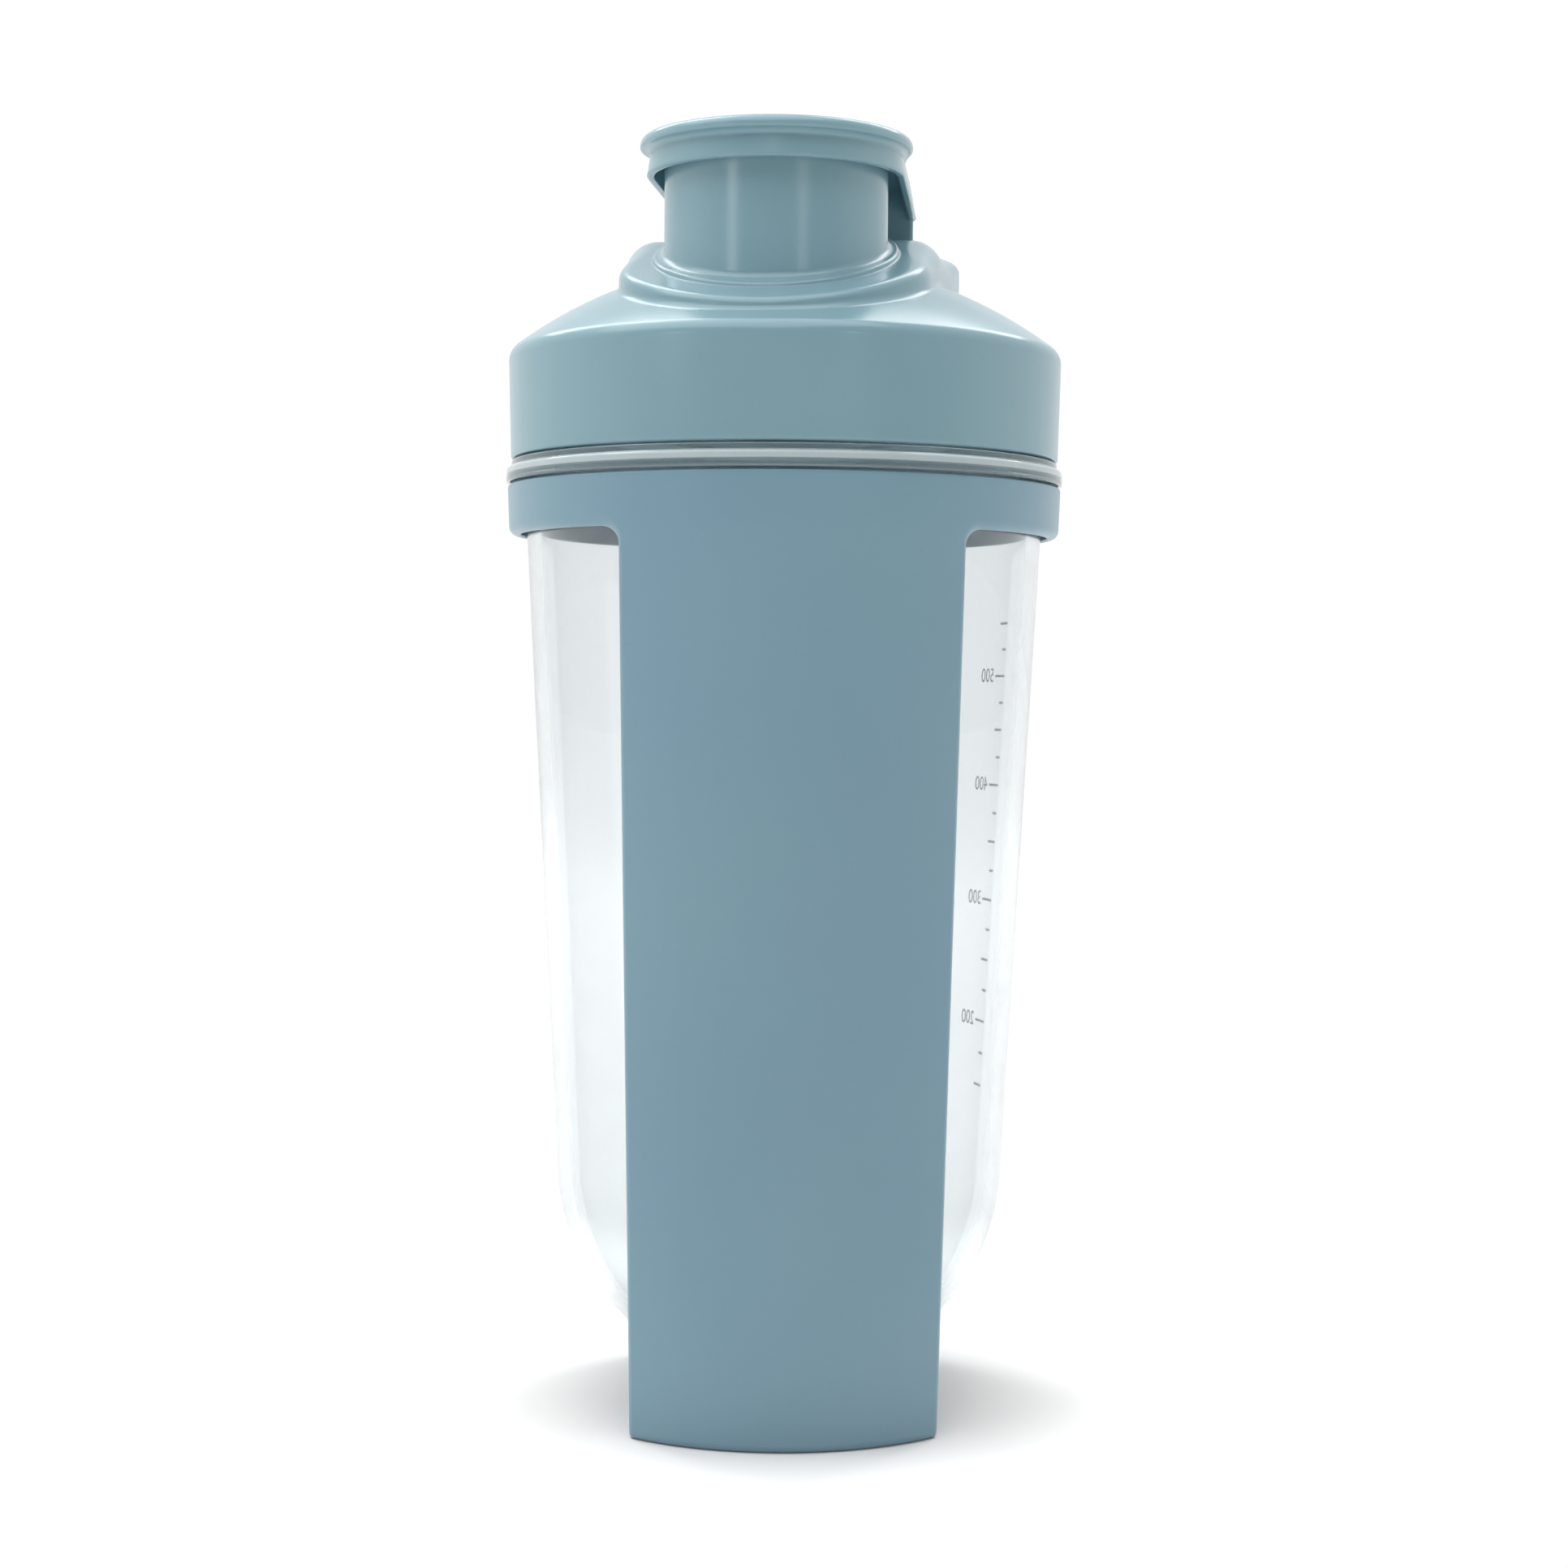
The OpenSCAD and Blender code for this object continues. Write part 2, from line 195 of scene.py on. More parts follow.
def smooth(obj, angle=36):
    """Smooth shading that keeps edges sharper than `angle`, and flat faces flat beside fillets."""
    mesh = obj.data
    mesh.polygons.foreach_set("use_smooth", [True] * len(mesh.polygons))
    mesh.set_sharp_from_angle(angle=math.radians(angle))
    weighted = obj.modifiers.new("weighted_normals", "WEIGHTED_NORMAL")
    weighted.keep_sharp = True
    weighted.weight = 60
    return obj


def combine(obj, other, operation):
    """Applies a boolean of `other` to `obj` and removes `other`."""
    step = obj.modifiers.new("cut", "BOOLEAN")
    step.operation = operation
    step.solver = "MANIFOLD"
    step.object = other
    bpy.context.view_layer.update()
    graph = bpy.context.evaluated_depsgraph_get()
    mesh = bpy.data.meshes.new_from_object(obj.evaluated_get(graph))
    obj.modifiers.clear()
    obj.data = mesh
    bpy.data.objects.remove(other)
    return obj


def rounded(corners, closed=True, step=12):
    """Outline through corners (x, y, radius), each rounded by its radius in steps of `step` degrees."""
    points = []
    count = len(corners)
    for i, (x, y, radius) in enumerate(corners):
        corner = np.array((x, y), float)
        if radius <= 0 or (not closed and i in (0, count - 1)):
            points.append(corner)
            continue
        a = np.array(corners[i - 1][:2]) - corner
        b = np.array(corners[(i + 1) % count][:2]) - corner
        a, b = a / np.hypot(*a), b / np.hypot(*b)
        half = math.acos(max(-1, min(1, float(a @ b)))) / 2
        centre = corner + (a + b) / np.hypot(*(a + b)) * radius / math.sin(half)
        start, end = corner + a * radius / math.tan(half), corner + b * radius / math.tan(half)
        first = math.atan2(*(start - centre)[::-1])
        turn = (math.atan2(*(end - centre)[::-1]) - first + math.pi) % (2 * math.pi) - math.pi
        parts = max(2, math.ceil(abs(math.degrees(turn)) / step))
        for j in range(parts + 1):
            angle = first + turn * j / parts
            points.append(centre + radius * np.array((math.cos(angle), math.sin(angle))))
    return np.array(points)


def arc(radius, z, start, end, parts):
    """Points (r, z) of an arc about (0, z) on the axis, angles in degrees."""
    a = np.radians(np.linspace(start, end, parts + 1))
    return np.stack((radius * np.cos(a), z + radius * np.sin(a)), -1)


def revolve(name, profile, steps=192, closed=True, centre=(0, 0)):
    """Turns a profile of (r, z) points about a vertical axis through `centre`."""
    a = np.linspace(0, 2 * np.pi, steps, endpoint=False)[:, None]
    r, z = np.asarray(profile).T
    grid = np.stack((centre[0] + r * np.cos(a), centre[1] + r * np.sin(a), z + 0 * a), -1)
    return sheets(name, [(grid, True, closed)])


def thread_band(name, wall_r, z0, side, yaw=0.0):
    """A little over one turn of rounded screw thread, whose ends run out into the wall. It stands
    outward from the wall where `side` is 1 and inward where it is -1."""
    steps = round(110 * TURNS)
    section = rounded([(-THREAD_ROOT, -1.35, 0), (0.15, -1.15, 0.25), (1, -0.5, 0.3),
                       (1, 0.5, 0.3), (0.15, 1.15, 0.25), (-THREAD_ROOT, 1.35, 0)], closed=False)
    rows = []
    for i in range(steps + 1):
        t = i / steps
        rise = min(1, min(t, 1 - t) / 0.12)
        depth = -0.1 + (THREAD_DEPTH + 0.1) * rise * rise * (3 - 2 * rise)
        out = np.where(section[:, 0] > 0, section[:, 0] * depth, section[:, 0])
        r = wall_r + side * out
        a = 2 * math.pi * TURNS * t + yaw
        z = z0 + PITCH * TURNS * t + section[:, 1]
        rows.append(np.stack((r * math.cos(a), r * math.sin(a), z), -1))
    band = sheets(name, [(np.array(rows), False, True)])
    face_outward(band.data, fill=True)
    return band


# ---------------------------------------------------------------- sleeve

def panel_radius(z):
    return FOOT_R + (RING_LOW_R - FOOT_R) * z / RING_LOW


def sleeve_radius(z, inner):
    """Radius of the sleeve's outer or inner face at height z, with its rounded upper rim."""
    rim = RIM_ROUND_IN if inner else RIM_ROUND
    up = max(0.0, z - (RING_TOP - rim))
    drop = rim - math.sqrt(max(0.0, rim * rim - up * up))
    if inner:
        return min(panel_radius(z), RING_LOW_R) - PANEL_WALL + drop
    ring = RING_LOW_R + (RING_TOP_R - RING_LOW_R) * min(1, (z - RING_LOW) / (RING_H - RIM_ROUND))
    return (ring if z > RING_LOW else panel_radius(z)) - drop


def edge_columns(rho):
    """Distances from a window's edge, and how far the face drops there, for an edge radius rho.
    They are closest where the edge bends, and where the ring's upper rim does."""
    a = np.radians(np.linspace(0, 90, 8))
    near = rho * (1 - np.cos(a))
    far = np.array([2.2, 4, 6, 7.4, 8.1, 8.25, 8.4, 8.5, 8.57, RING_H])
    return np.concatenate((near, far)), np.concatenate((rho * (1 - np.sin(a)), 0 * far))


def window_half(z):
    """Half the width of the sleeve's front panel at height z."""
    return PANEL_HALF_FOOT + (PANEL_HALF_TOP - PANEL_HALF_FOOT) * (z + 1) / (RING_LOW - WINDOW_CORNER + 1)


def panel_row(x, z, r):
    return [x, -math.sqrt(max(0.0, r * r - x * x)), z]


def ring_quarter(inner):
    """Grid of one quarter of the ring's outer or inner face, from over the window's corner to the side."""
    sign = -1 if inner else 1
    ds, drops = edge_columns(INNER_EDGE if inner else RING_EDGE)
    grid = []
    for s in np.linspace(0, 1, 30):
        row = []
        for d, drop in zip(ds, drops):
            r = sleeve_radius(RING_LOW + d, inner) - sign * drop
            first = math.asin((PANEL_HALF_TOP + WINDOW_CORNER) / r)
            t = first + (math.pi / 2 - first) * s
            row.append([r * math.sin(t), -r * math.cos(t), RING_LOW + d])
        grid.append(row)
    return np.array(grid)


def panel_quarter(inner):
    """Grid of one quarter of the sleeve's outer or inner face: floor, fillet, panel and corner."""
    sign = -1 if inner else 1
    base = FLOOR_ROUND if inner else FOOT_ROUND
    foot = FLOOR_T + FLOOR_ROUND if inner else FOOT_ROUND
    floor_z = FLOOR_T if inner else 0.0
    corner_x, corner_z = PANEL_HALF_TOP + WINDOW_CORNER, RING_LOW - WINDOW_CORNER
    toward = np.linspace(1, 0, 10)[1:]
    grid = []

    def add(edge_xz, rho, place):
        ds, drops = edge_columns(rho)
        row = []
        for d, drop in zip(ds, drops):
            row.append(place(*edge_xz(d), drop))
        end_x, end_z = edge_xz(ds[-1])
        for t in toward:
            row.append(place(end_x * t, end_z, 0.0))
        grid.append(row)

    edge = INNER_EDGE if inner else PANEL_EDGE
    centre_r = sleeve_radius(foot, inner) - base
    for s in np.linspace(0, 1, 14)[:-1]:
        def on_floor(x, _, drop):
            y = -math.sqrt(centre_r * centre_r - x * x)
            return [x, y * s, floor_z + sign * drop]
        add(lambda d: (window_half(0) - d, 0), edge, on_floor)
    for beta in np.radians(np.linspace(90, 0, 9)[:-1]):
        def on_fillet(x, _, drop):
            reach = base - sign * drop
            return panel_row(x, foot - reach * math.sin(beta), centre_r + reach * math.cos(beta))
        add(lambda d: (window_half(0) - d, 0), edge, on_fillet)
    for z in np.linspace(foot, corner_z, 40)[:-1]:
        add(lambda d: (window_half(z) - d, z), edge,
            lambda x, h, drop: panel_row(x, h, sleeve_radius(h, inner) - sign * drop))
    for phi in np.radians(np.linspace(180, 90, 31)):
        share = (math.pi - phi) / (math.pi / 2)
        rho = edge if inner else PANEL_EDGE + (RING_EDGE - PANEL_EDGE) * share * share * (3 - 2 * share)

        def round_corner(d):
            reach = WINDOW_CORNER + d
            return corner_x + reach * math.cos(phi), corner_z + reach * math.sin(phi)
        add(round_corner, rho, lambda x, h, drop: panel_row(x, h, sleeve_radius(h, inner) - sign * drop))
    return np.array(grid)


def make_sleeve():
    """Front and back panels, the floor between their feet and the ring above them, in one piece."""
    outer, inner = panel_quarter(False), panel_quarter(True)
    outer_ring, inner_ring = ring_quarter(False), ring_quarter(True)
    columns = len(edge_columns(1)[0])
    strips = [
        np.stack((outer[:, 0], inner[:, 0]), 1),
        np.stack((outer_ring[:, 0], inner_ring[:, 0]), 1),
        np.stack((outer[-1, columns - 1:], inner[-1, columns - 1:]), 1),
        np.stack((outer_ring[:, -1], inner_ring[:, -1]), 1),
    ]
    grids = []
    for g in [outer, outer_ring, inner, inner_ring] + strips:
        for mx in (1, -1):
            for my in (1, -1):
                grids.append((g * np.array((mx, my, 1)), False, False))
    return smooth(sheets("sleeve_shell", grids, weld=4e-6))


# ---------------------------------------------------------------- cup

def cup_radius(z):
    slope = math.atan(CUP_TAPER)
    return BALL_R * math.cos(slope) + CUP_TAPER * (z - BALL_Z + BALL_R * math.sin(slope))


def make_cup():
    """Round-bottomed clear cup with a flange, a step and a threaded neck."""
    slope = math.degrees(math.atan(CUP_TAPER))
    under = cup_radius(FLANGE_LOW)
    outside = arc(BALL_R, BALL_Z, -90, -slope, 60)
    inside = arc(BALL_R - CUP_WALL, BALL_Z, -slope, -90, 60)
    middle = rounded([
        (*outside[-1], 0), (under, FLANGE_LOW, 0.7), (FLANGE_R, FLANGE_LOW, 0.5),
        (FLANGE_R, FLANGE_TOP, 0.6), (STEP_R, FLANGE_TOP, 0.3), (STEP_R, STEP_TOP, 0.3),
        (NECK_R, STEP_TOP, 0.5), (NECK_R, NECK_TOP, 0.7), (NECK_IN, NECK_TOP, 0.7),
        (NECK_IN, STEP_TOP + 1, 3), (under - CUP_WALL, FLANGE_LOW - 1, 6), (*inside[0], 0)], closed=False)
    rise = np.linspace(0, 1, 24)[1:-1, None]
    wall = outside[-1] + (middle[1] - outside[-1]) * rise
    lining = middle[-2] + (inside[0] - middle[-2]) * rise
    profile = np.concatenate((outside, wall, middle[1:-1], lining, inside))
    cup = revolve("cup_shell", profile, steps=224, closed=False)
    return smooth(combine(cup, thread_band("cup_thread", NECK_R, CUP_THREAD_Z, 1), "UNION"))


SCALE_ANGLE = 17.0          # degrees behind +X
SCALE_LOW, SCALE_HIGH, SCALE_STEP = 150, 550, 25        # millilitres
TICK_START, TICK_HALF = -4.6, 0.22
TICK_LONG, TICK_MIDDLE, TICK_SHORT = 5.2, 4.0, 2.4      # at each 100, 50 and 25 millilitres
NUMBER_START, NUMBER_SIZE = 1.4, 3.6
INK_LIFT, INK_T = 0.03, 0.05


def fill_height(amount):
    """Height at which the cup holds `amount` millilitres."""
    z = np.linspace(BALL_Z - BALL_R + CUP_WALL, FLANGE_LOW, 600)
    ball = np.sqrt(np.maximum((BALL_R - CUP_WALL) ** 2 - (z - BALL_Z) ** 2, 0))
    inside = np.where(z < BALL_Z, ball, cup_radius(z) - CUP_WALL)
    held = np.cumsum(math.pi * inside[1:] ** 2 * np.diff(z)) / 1000
    return float(np.interp(amount, held, z[1:]))


def wrap_on_cup(points):
    """Flat points (across, height) in mm laid just off the cup's outer wall, as points in metres."""
    flat = np.asarray(points, float)
    r = np.array([cup_radius(z) for z in flat[:, 1]]) + INK_LIFT
    a = math.radians(SCALE_ANGLE) + flat[:, 0] / r
    return (np.stack((r * np.cos(a), r * np.sin(a), flat[:, 1]), -1) * MM).tolist()


def number_shape(amount):
    """Points (across, height) and faces of a plain number that starts at 0 and is centred on 0."""
    number = bpy.data.curves.new("number", "FONT")
    number.body = str(amount)
    number.size = NUMBER_SIZE
    number.align_y = "CENTER"
    number.resolution_u = 3
    holder = new_object("number", number)
    mesh = bpy.data.meshes.new_from_object(holder)
    bpy.data.objects.remove(holder)
    return [(v.co.x, v.co.y) for v in mesh.vertices], [tuple(p.vertices) for p in mesh.polygons]


def make_scale():
    """Printed measuring scale on the cup's wall: true ticks, and a plain number at each hundred."""
    points, faces = [], []
    for amount in range(SCALE_LOW, SCALE_HIGH + 1, SCALE_STEP):
        z = fill_height(amount)
        reach = TICK_LONG if amount % 100 == 0 else TICK_MIDDLE if amount % 50 == 0 else TICK_SHORT
        across = np.linspace(TICK_START, TICK_START + reach, 7)
        base = len(points)
        points += wrap_on_cup([(x, h) for x in across for h in (z - TICK_HALF, z + TICK_HALF)])
        faces += [(base + 2 * i, base + 2 * i + 2, base + 2 * i + 3, base + 2 * i + 1)
                  for i in range(len(across) - 1)]
        if amount % 100 == 0:
            outline, fill = number_shape(amount)
            base = len(points)
            points += wrap_on_cup([(x + NUMBER_START, y + z) for x, y in outline])
            faces += [tuple(base + i for i in face) for face in fill]
    mesh = bpy.data.meshes.new("cup_scale")
    mesh.from_pydata(points, [], faces)
    scale = new_object("cup_scale", mesh)
    solid = scale.modifiers.new("ink", "SOLIDIFY")
    solid.thickness = INK_T * MM
    solid.offset = 1
    return scale


# ---------------------------------------------------------------- lid

def smooth_min(a, b, k):
    """The lower of two heights, blended where they are within `k` of each other."""
    h = np.maximum(k - np.abs(a - b), 0) / k
    return np.minimum(a, b) - h * h * k / 4


def collar_top(p):
    """Height of the collar's slanted top and the housing's flat top at plan points (..., 2)."""
    slant = COLLAR_MID + math.tan(math.radians(COLLAR_SLOPE)) * (p[..., 1] - SPOUT_Y)
    return smooth_min(slant, HOUSING_TOP + 0 * slant, 1.6)


def dome_height(p, radius=DOME_R):
    """Height of the lid's dome at plan points (..., 2)."""
    return DOME_Z + np.sqrt(radius * radius - p[..., 0] ** 2 - p[..., 1] ** 2)


def housing_outline(inset, back, corner, counts=(46, 38, 10, 22)):
    """Half of the plan outline, from the front to the middle of the back: points and normals."""
    f = math.radians(HOUSING_FLARE)
    r = COLLAR_R - inset

    def half_width(y):
        return r / math.cos(f) + (y - SPOUT_Y) * math.tan(f)
    centre_y = back - corner
    centre_x = half_width(centre_y) - corner / math.cos(f)
    a = np.linspace(-math.pi / 2, -f, counts[0] + 1)
    front = np.stack((r * np.cos(a), SPOUT_Y + r * np.sin(a)), -1)
    front_n = np.stack((np.cos(a), np.sin(a)), -1)
    b = np.linspace(-f, math.pi / 2, counts[2] + 1)
    bend_n = np.stack((np.cos(b), np.sin(b)), -1)
    bend = np.array((centre_x, centre_y)) + corner * bend_n
    t = np.linspace(0, 1, counts[1] + 1)[1:-1, None]
    side = front[-1] + (bend[0] - front[-1]) * t
    side_n = np.repeat(front_n[-1:], len(t), 0)
    u = np.linspace(0, 1, counts[3] + 1)[1:, None]
    rear = bend[-1] + (np.array((0.0, back)) - bend[-1]) * u
    rear_n = np.repeat(bend_n[-1:], len(u), 0)
    return (np.concatenate((front, side, bend, rear)),
            np.concatenate((front_n, side_n, bend_n, rear_n)))


def both_sides(values):
    """A half outline carried on round the other side, mirrored in x."""
    back = values[-2:0:-1].copy()
    back[..., 0] *= -1
    return np.concatenate((values, back))


def edge_radius(y):
    """Radius of the collar's upper edge: small in front, generous along the housing's sides."""
    keys = [(-50, 1.1), (-32, 1.2), (-8, 5.4), (10, 5.4), (24, 1.7), (40, 1.7)]
    for (y0, r0), (y1, r1) in zip(keys, keys[1:]):
        if y <= y1:
            t = (y - y0) / (y1 - y0)
            return r0 + (r1 - r0) * t * t * (3 - 2 * t)
    return keys[-1][1]


def with_z(plan, z):
    """Plan points (..., 2) with a height each."""
    return np.concatenate((plan, np.broadcast_to(z, plan.shape[:-1])[..., None]), -1)


def spout_rows(out):
    """Rows over the spout's rim, down its outer wall and over the bead at its foot."""
    def ring(r, z):
        return with_z(SPOUT_AXIS + out * r, z)
    bend_r, bend_z = SPOUT_R - SPOUT_WALL + RIM_IN, SPOUT_TOP - RIM_IN
    rows = [ring(bend_r + RIM_IN * math.cos(a), bend_z + RIM_IN * math.sin(a))
            for a in np.radians(np.linspace(180, 90, 6))]
    rows += [ring(SPOUT_R - RIM_OUT + RIM_OUT * math.cos(a), SPOUT_TOP - RIM_OUT + RIM_OUT * math.sin(a))
             for a in np.radians(np.linspace(90, 0, 6))]
    top = SPOUT_TOP - RIM_OUT
    around = collar_top(SPOUT_AXIS + out * SPOUT_R)
    rows += [ring(SPOUT_R, top + (around + FOOT_UP - top) * t) for t in np.linspace(0, 1, 9)[1:]]
    hollow, bead = 1.3, 0.55
    foot = [(hollow - hollow * math.cos(a), FOOT_UP - hollow * math.sin(a))
            for a in np.radians((15, 32, 50, 70, 90))]
    foot += [(1.35 + bead * math.sin(a), 0.35 + bead * math.cos(a))
             for a in np.radians((0, 22, 45, 68, 90))]
    foot += [(1.95, 0.14), (2.08, 0.04), (FOOT_OUT, 0.0)]
    for d, lift in foot:
        p = SPOUT_AXIS + out * (SPOUT_R + d)
        rows.append(with_z(p, collar_top(p) + lift))
    return rows


def collar_rows(out, outline, normal):
    """Rows over the collar's slanted top, its rounded edge and its wall, and where they end."""
    bead = np.array([edge_radius(y) for y in outline[:, 1]])[:, None]
    wall = collar_top(outline) - dome_height(outline)
    foot = np.clip(0.9 * (wall[:, None] - bead), 0.25, 0.9)
    start = SPOUT_AXIS + out * (SPOUT_R + FOOT_OUT)
    inner_edge = outline - normal * bead
    rows = []
    for t in np.linspace(0, 1, 9)[1:-1]:
        p = start + (inner_edge - start) * t
        rows.append(with_z(p, collar_top(p)))
    for a in np.radians(np.linspace(90, 0, 13)):
        p = outline - normal * bead * (1 - math.cos(a))
        rows.append(with_z(p, collar_top(p) - bead[:, 0] * (1 - math.sin(a))))
    high = collar_top(outline) - bead[:, 0]
    low = dome_height(outline) + foot[:, 0]
    for t in np.linspace(0, 1, 8)[1:-1]:
        rows.append(with_z(outline, high + (low - high) * t))
    for a in np.radians(np.linspace(0, 90, 8)):
        p = outline + normal * foot * (1 - math.cos(a))
        rows.append(with_z(p, dome_height(p) + foot[:, 0] * (1 - math.sin(a))))
    return rows, outline + normal * foot


def skirt_rows(toe, away):
    """Rows down the dome, the shoulder and the skirt, and up inside it to the dome's lining."""
    def disc(r, z):
        return with_z(away * r, z)
    tangent = math.atan2(math.sqrt((DOME_R - SHOULDER) ** 2 - (LID_R - SHOULDER) ** 2), LID_R - SHOULDER)
    centre_z = DOME_Z + (DOME_R - SHOULDER) * math.sin(tangent)
    edge = away * (LID_R - SHOULDER + SHOULDER * math.cos(tangent))
    rows = []
    for t in np.linspace(0, 1, 13)[1:-1]:
        p = toe + (edge - toe) * t
        rows.append(with_z(p, dome_height(p)))
    for a in np.linspace(tangent, 0, 11):
        rows.append(disc(LID_R - SHOULDER + SHOULDER * math.cos(a), centre_z + SHOULDER * math.sin(a)))
    foot_r, foot_z = LID_R - SKIRT_DRAFT, LID_BOTTOM + 0.6
    for t in np.linspace(0, 1, 7)[1:]:
        rows.append(disc(LID_R - SKIRT_DRAFT * t, centre_z + (foot_z - centre_z) * t))
    lining_z = DOME_Z + math.sqrt((DOME_R - DOME_WALL) ** 2 - DOME_IN_R ** 2)
    inside = rounded([(foot_r, foot_z, 0), (foot_r, LID_BOTTOM, 0.55), (SKIRT_IN, LID_BOTTOM, 0.35),
                      (SKIRT_IN, SEAT_Z, 0.4), (SEAT_R, SEAT_Z, 0.2), (SEAT_R, SEAT_Z + SEAT_H, 0.6),
                      (DOME_IN_R, lining_z, 0)], closed=False, step=22)
    return rows + [disc(r, z) for r, z in inside[1:]]


def lining_rows(out, away, inner):
    """Rows under the dome, up into the collar's cavity and up the spout's bore."""
    lining, skin = DOME_R - DOME_WALL, 0.3
    rim = away * DOME_IN_R
    rows = []
    for t in np.linspace(0, 1, 7)[1:]:
        p = rim + (inner - rim) * t
        rows.append(with_z(p, dome_height(p, lining)))
    ceiling = collar_top(inner) - COLLAR_WALL
    low = dome_height(inner, lining)
    for t in np.linspace(0, 1, 6)[1:]:
        rows.append(with_z(inner, low + (np.maximum(ceiling, low + skin) - low) * t))
    bore = SPOUT_AXIS + out * (SPOUT_R - SPOUT_WALL)
    for t in np.linspace(0, 1, 6)[1:]:
        p = inner + (bore - inner) * t
        rows.append(with_z(p, np.maximum(collar_top(p) - COLLAR_WALL, dome_height(p, lining) + skin)))
    under = rows[-1][:, 2]
    for t in np.linspace(0, 1, 7)[1:-1]:
        rows.append(with_z(bore, under + (SPOUT_TOP - RIM_IN - under) * t))
    return rows


def lid_rows():
    """Closed cross-sections of the lid, one row of points for each step of the way round them."""
    outline, normal = housing_outline(0, HOUSING_BACK, HOUSING_CORNER)
    outline, normal = both_sides(outline), both_sides(normal)
    inner = both_sides(housing_outline(COLLAR_WALL, CAVITY_BACK, CAVITY_CORNER)[0])
    inner = inner * np.minimum(1, (DOME_IN_R - 0.15) / np.hypot(*inner.T)[:, None])
    out = (outline - SPOUT_AXIS) / np.hypot(*(outline - SPOUT_AXIS).T)[:, None]
    away = outline / np.hypot(*outline.T)[:, None]
    collar, toe = collar_rows(out, outline, normal)
    return np.array(spout_rows(out) + collar + skirt_rows(toe, away) + lining_rows(out, away, inner))


def slot_cutter():
    """The room that the strap's barrel turns in, open at the top and at the rear."""
    over, behind = HOUSING_TOP + 6, 8
    fall = math.tan(math.radians(SLOT_FALL))
    base = [(PIN_Y - SLOT_R, over), (PIN_Y - SLOT_R, HOUSING_TOP)]
    base += [(PIN_Y + SLOT_R * math.cos(a), PIN_Z + SLOT_R * math.sin(a))
             for a in np.radians(np.linspace(180, 270 - SLOT_FALL, 15))]
    rear_z = base[-1][1] - (HOUSING_BACK - base[-1][0]) * fall
    base += [(HOUSING_BACK, rear_z), (HOUSING_BACK + behind, rear_z - behind * fall),
             (HOUSING_BACK + behind, over)]
    count = len(base)
    points = [(s * SLOT_HALF, y, z) for s in (-1, 1) for y, z in base]
    faces = [tuple(range(count)), tuple(range(2 * count - 1, count - 1, -1))]
    faces += [(i, i + count, (i + 1) % count + count, (i + 1) % count) for i in range(count)]
    mesh = bpy.data.meshes.new("slot")
    mesh.from_pydata((turned(points) * MM).tolist(), [], faces)
    face_outward(mesh)
    return new_object("slot", mesh)


def rod(name, x0, x1, radius, chamfer, steps=64):
    """A round rod along the hinge's axis, from x0 to x1 in the lid's frame, with chamfered ends."""
    profile = [(0, x0), (radius - chamfer, x0), (radius, x0 + chamfer),
               (radius, x1 - chamfer), (radius - chamfer, x1), (0, x1)]
    a = np.linspace(0, 2 * np.pi, steps, endpoint=False)[:, None]
    r, x = np.array(profile, float).T
    grid = np.stack((x + 0 * a, PIN_Y + r * np.cos(a), PIN_Z + r * np.sin(a)), -1)
    return sheets(name, [(turned(grid), True, False)])


def make_pin():
    return smooth(rod("pin_rod", PIN_LEFT, PIN_RIGHT, PIN_R - 0.01, 0.25))


def make_lid_thread():
    return smooth(thread_band("lid_thread", SKIRT_IN, LID_THREAD_Z, -1, LID_YAW))


def make_lid():
    """Skirt, domed shoulder, slanted collar with the hinge housing behind it, and the spout."""
    lid = sheets("lid_shell", [(turned(lid_rows()), True, True)], weld=5e-8)
    combine(lid, slot_cutter(), "DIFFERENCE")
    combine(lid, rod("bore", -60, PIN_RIGHT + 0.3, PIN_R, 0.01), "DIFFERENCE")
    return smooth(lid, 40)


# ---------------------------------------------------------------- flip cap

def meet(a, b, r):
    """Intersection of two distance fields with an edge rounded by r."""
    return np.minimum(-r, np.maximum(a, b)) + np.hypot(np.maximum(r + a, 0), np.maximum(r + b, 0))


def join(a, b, r):
    """Union of two distance fields with a fillet of radius r between them."""
    return np.maximum(r, np.minimum(a, b)) - np.hypot(np.maximum(r - a, 0), np.maximum(r - b, 0))


def cap_plan(x, y, r):
    """Plan distance to a round front of radius r with nearly straight sides behind it."""
    back = y - SPOUT_Y
    return np.where(back < 0, np.hypot(x, back) - r, np.abs(x) - r + back * CAP_SLOPE)


def corner_bend(y, z, back, top, r):
    """Distance to the quadrant in front of `back` and below `top`, with its corner bent by r."""
    u, v = y - (back - r), z - (top - r)
    return np.hypot(np.maximum(u, 0), np.maximum(v, 0)) + np.minimum(np.maximum(u, v), 0) - r


